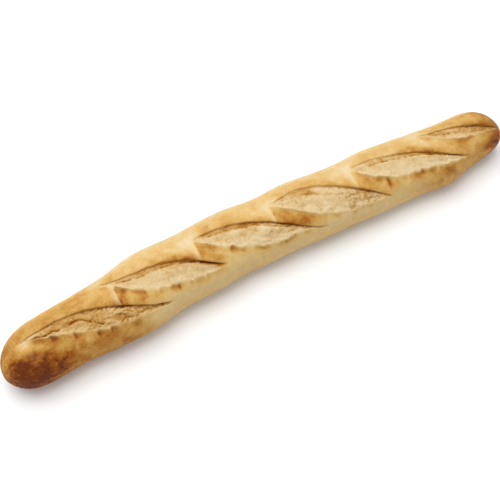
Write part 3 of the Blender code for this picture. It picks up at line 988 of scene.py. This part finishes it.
def colour(red, green, blue):
    """The linear colour that shows as these display values, 0 to 255, in the scene's light."""
    return tuple(((value / 255 + 0.055) / 1.055) ** 2.4 / LIGHT for value in (red, green, blue)) + (1.0,)


# Crust from dough to dark brown: place on the scale of bake, then red, green and blue
CRUST = (
    (0.0, 246, 228, 186), (0.16, 242, 216, 166), (0.32, 236, 199, 130), (0.46, 225, 179, 100),
    (0.58, 209, 156, 74), (0.7, 190, 130, 48), (0.84, 162, 90, 14), (1.0, 114, 50, 4),
)
# Crumb on the same scale
CRUMB = ((0.0, 243, 218, 172), (0.3, 231, 198, 142), (0.6, 209, 161, 90), (1.0, 160, 100, 30))
# Colours of painted shade in grooves, cracks, pits and under the ears, and of the crumb's dark specks
SHADE_AND_SPECK_COLOUR = colour(198, 128, 26)  # in a groove or a thin crack
DEEP_SHADE_AND_SPECK_COLOUR = colour(128, 74, 6)  # and in a deep one
FLOUR_COLOUR = colour(224, 198, 145)
ROSY_TINT = (1.0, 0.91, 0.84, 1.0)  # turns a patch of crust towards orange
# pale crust of the rims and before facets, along the rims partly a painted highlight
PALE_AND_HIGHLIGHT_COLOUR = colour(248, 222, 166)

# The material's noises: waves per metre, detail and roughness of each
MOTTLE_NOISE = (150, 3, 0.55)
GRAIN_NOISE = (480, 3, 0.65)
ROSY_NOISE = (75, 2, 0.55)
FINE_NOISE = (900, 4, 0.7)
COARSE_NOISE = (330, 3, 0.6)
COARSE_SHARE = 1.5
# Its curves: from a low and a high value to two others
MOTTLE_BAKE = (0.3, 0.7, -0.06, 0.06)
GRAIN_BAKE = (0.3, 0.7, -0.07, 0.07)
ROSY_PARTS = (0.45, 0.7, 0.0, 0.7)
FLOUR_GRAIN = (0.35, 0.65, 0.25, 0.8)
# how much of the painted shade and speck colours each value of the dark look lays on
SHADE_SHARE = (0, 0.7, 0, 0.9)
DEEP_SHADE_SHARE = (0.45, 1.0, 0, 0.85)
# and from crust to crumb
CRUMB_GRAIN = (0, 1, 1, 2.2)
CRUMB_ROUGHNESS = (0, 1, 0.58, 0.9)
CRUMB_RELIEF = (0, 1, 0.35, 0.9)
FINE_RELIEF = 0.35 * MM
SHEEN = 0.15


class Tree:
    """Short ways to add and join nodes in a material."""

    def __init__(self, material):
        self.nodes, self.links = material.node_tree.nodes, material.node_tree.links

    def add(self, kind, **settings):
        node = self.nodes.new(kind)
        for key, value in settings.items():
            setattr(node, key, value)
        return node

    def put(self, socket, value):
        """Joins the socket to another one, or sets it to a number or colour."""
        if isinstance(value, bpy.types.NodeSocket):
            self.links.new(value, socket)
        else:
            socket.default_value = value

    def look(self, name):
        return self.add("ShaderNodeAttribute", attribute_name=name).outputs["Fac"]

    def noise(self, place, scale, detail, roughness):
        node = self.add("ShaderNodeTexNoise")
        self.put(node.inputs["Vector"], place)
        for key, value in (("Scale", scale), ("Detail", detail), ("Roughness", roughness)):
            self.put(node.inputs[key], value)
        return node.outputs["Fac"]

    def math(self, operation, a, b, clamp=False):
        node = self.add("ShaderNodeMath", operation=operation, use_clamp=clamp)
        self.put(node.inputs[0], a)
        self.put(node.inputs[1], b)
        return node.outputs[0]

    def spread(self, value, low, high, to_low, to_high):
        """The value, with low to high spread out over to_low to to_high."""
        node = self.add("ShaderNodeMapRange")
        self.put(node.inputs["Value"], value)
        for key, limit in (("From Min", low), ("From Max", high), ("To Min", to_low), ("To Max", to_high)):
            self.put(node.inputs[key], limit)
        return node.outputs[0]

    def mix(self, share, a, b, blend="MIX"):
        node = self.add("ShaderNodeMix", data_type="RGBA", blend_type=blend)
        self.put(node.inputs["Factor"], share)
        self.put(node.inputs[6], a)
        self.put(node.inputs[7], b)
        return node.outputs[2]

    def ramp(self, value, stops):
        node = self.add("ShaderNodeValToRGB")
        self.put(node.inputs["Fac"], value)
        elements = node.color_ramp.elements
        while len(elements) < len(stops):
            elements.new(0.5)
        for element, (place, *shade) in zip(elements, stops):
            element.position, element.color = place, colour(*shade)
        return node.outputs["Color"]


def new_material(name):
    """A material and its surface node."""
    material = bpy.data.materials.new(name)
    material.use_nodes = True
    return material, material.node_tree.nodes["Principled BSDF"]


def bread():
    """Crust from pale dough through gold to dark brown, torn crumb in the slashes, flour on the flank."""
    material, surface = new_material("crust")
    tree = Tree(material)
    place = tree.add("ShaderNodeTexCoord").outputs["Object"]
    crumb, dark = tree.look("crumb"), tree.look("dark")
    mottle = tree.noise(place, *MOTTLE_NOISE)
    grain = tree.spread(tree.noise(place, *GRAIN_NOISE), *GRAIN_BAKE)
    grain = tree.math("MULTIPLY", grain, tree.spread(crumb, *CRUMB_GRAIN))
    bake = tree.math("ADD", tree.look("bake"), tree.spread(mottle, *MOTTLE_BAKE))
    bake = tree.math("ADD", bake, grain, clamp=True)
    crust = tree.ramp(bake, CRUST)
    crust = tree.mix(tree.spread(tree.noise(place, *ROSY_NOISE), *ROSY_PARTS), crust, ROSY_TINT, "MULTIPLY")
    crust = tree.mix(tree.look("pale"), crust, PALE_AND_HIGHLIGHT_COLOUR)
    dust = tree.math("MULTIPLY", tree.look("flour"), tree.spread(mottle, *FLOUR_GRAIN))
    crust = tree.mix(dust, crust, FLOUR_COLOUR)
    shade = tree.mix(crumb, crust, tree.ramp(bake, CRUMB))
    # the dark look: painted shade in grooves, cracks, pits and under the ears, with the crumb's dark specks
    shade = tree.mix(tree.spread(dark, *SHADE_SHARE), shade, SHADE_AND_SPECK_COLOUR)
    shade = tree.mix(tree.spread(dark, *DEEP_SHADE_SHARE), shade, DEEP_SHADE_AND_SPECK_COLOUR)
    tree.put(surface.inputs["Base Color"], shade)
    tree.put(surface.inputs["Roughness"], tree.spread(crumb, *CRUMB_ROUGHNESS))
    tree.put(surface.inputs["Specular IOR Level"], SHEEN)
    coarse = tree.math("MULTIPLY", tree.noise(place, *COARSE_NOISE), COARSE_SHARE)
    relief = tree.add("ShaderNodeBump")
    tree.put(relief.inputs["Height"], tree.math("ADD", tree.noise(place, *FINE_NOISE), coarse))
    tree.put(relief.inputs["Distance"], FINE_RELIEF)
    tree.put(relief.inputs["Strength"], tree.spread(crumb, *CRUMB_RELIEF))
    tree.put(surface.inputs["Normal"], relief.outputs["Normal"])
    return material


def put_in_scene(name, data):
    """A new object in the scene."""
    thing = bpy.data.objects.new(name, data)
    bpy.context.scene.collection.objects.link(thing)
    return thing


def add_loaf():
    mesh = skin("loaf", *loaf())
    mesh.materials.append(bread())
    piece = put_in_scene("loaf", mesh)
    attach(piece, "root")
    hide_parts("baguette")


def add_floor():
    material, surface = new_material("floor")
    surface.inputs["Base Color"].default_value = (FLOOR_TONE, FLOOR_TONE, FLOOR_TONE, 1)
    surface.inputs["Roughness"].default_value = FLOOR_ROUGHNESS
    surface.inputs["Specular IOR Level"].default_value = FLOOR_SHEEN
    corners = [(x * FLOOR_HALF, y * FLOOR_HALF, 0) for x, y in ((-1, -1), (1, -1), (1, 1), (-1, 1))]
    mesh = bpy.data.meshes.new("floor")
    mesh.from_pydata(corners, [], [(0, 1, 2, 3)])
    mesh.materials.append(material)
    floor = put_in_scene("floor", mesh)
    floor.location.z = -FLOOR_DROP


def direction(azimuth, elevation):
    """From the loaf towards that side and height, in degrees; 0 is the -Y side."""
    turn, rise = math.radians(azimuth), math.radians(elevation)
    return Vector((math.sin(turn) * math.cos(rise), -math.cos(turn) * math.cos(rise), math.sin(rise)))


def add_light():
    """A square lamp that faces the loaf, and an even white sky."""
    away = direction(KEY_AZIMUTH, KEY_ELEVATION)
    lamp = bpy.data.lights.new("key", "AREA")
    lamp.size, lamp.energy = KEY_SIZE, KEY_POWER
    holder = put_in_scene("key", lamp)
    holder.matrix_world = Matrix.LocRotScale(away * KEY_BACK, away.to_track_quat("Z", "Y"), None)
    world = bpy.data.worlds.new("studio")
    world.use_nodes = True
    sky = world.node_tree.nodes["Background"]
    sky.inputs["Color"].default_value = (1, 1, 1, 1)
    sky.inputs["Strength"].default_value = WORLD_STRENGTH
    bpy.context.scene.world = world


def add_camera():
    back = direction(CAMERA_AZIMUTH, CAMERA_ELEVATION)
    camera = bpy.data.cameras.new("camera")
    camera.lens, camera.sensor_width = CAMERA_LENS, SENSOR
    camera.clip_start = CLIP_START
    holder = put_in_scene("camera", camera)
    place = Vector(CAMERA_AIM) + back * CAMERA_BACK
    holder.matrix_world = Matrix.LocRotScale(place, (-back).to_track_quat("-Z", "Y"), None)
    bpy.context.scene.camera = holder


add_loaf()
add_floor()
add_light()
add_camera()
bpy.context.scene.view_settings.view_transform = "Standard"
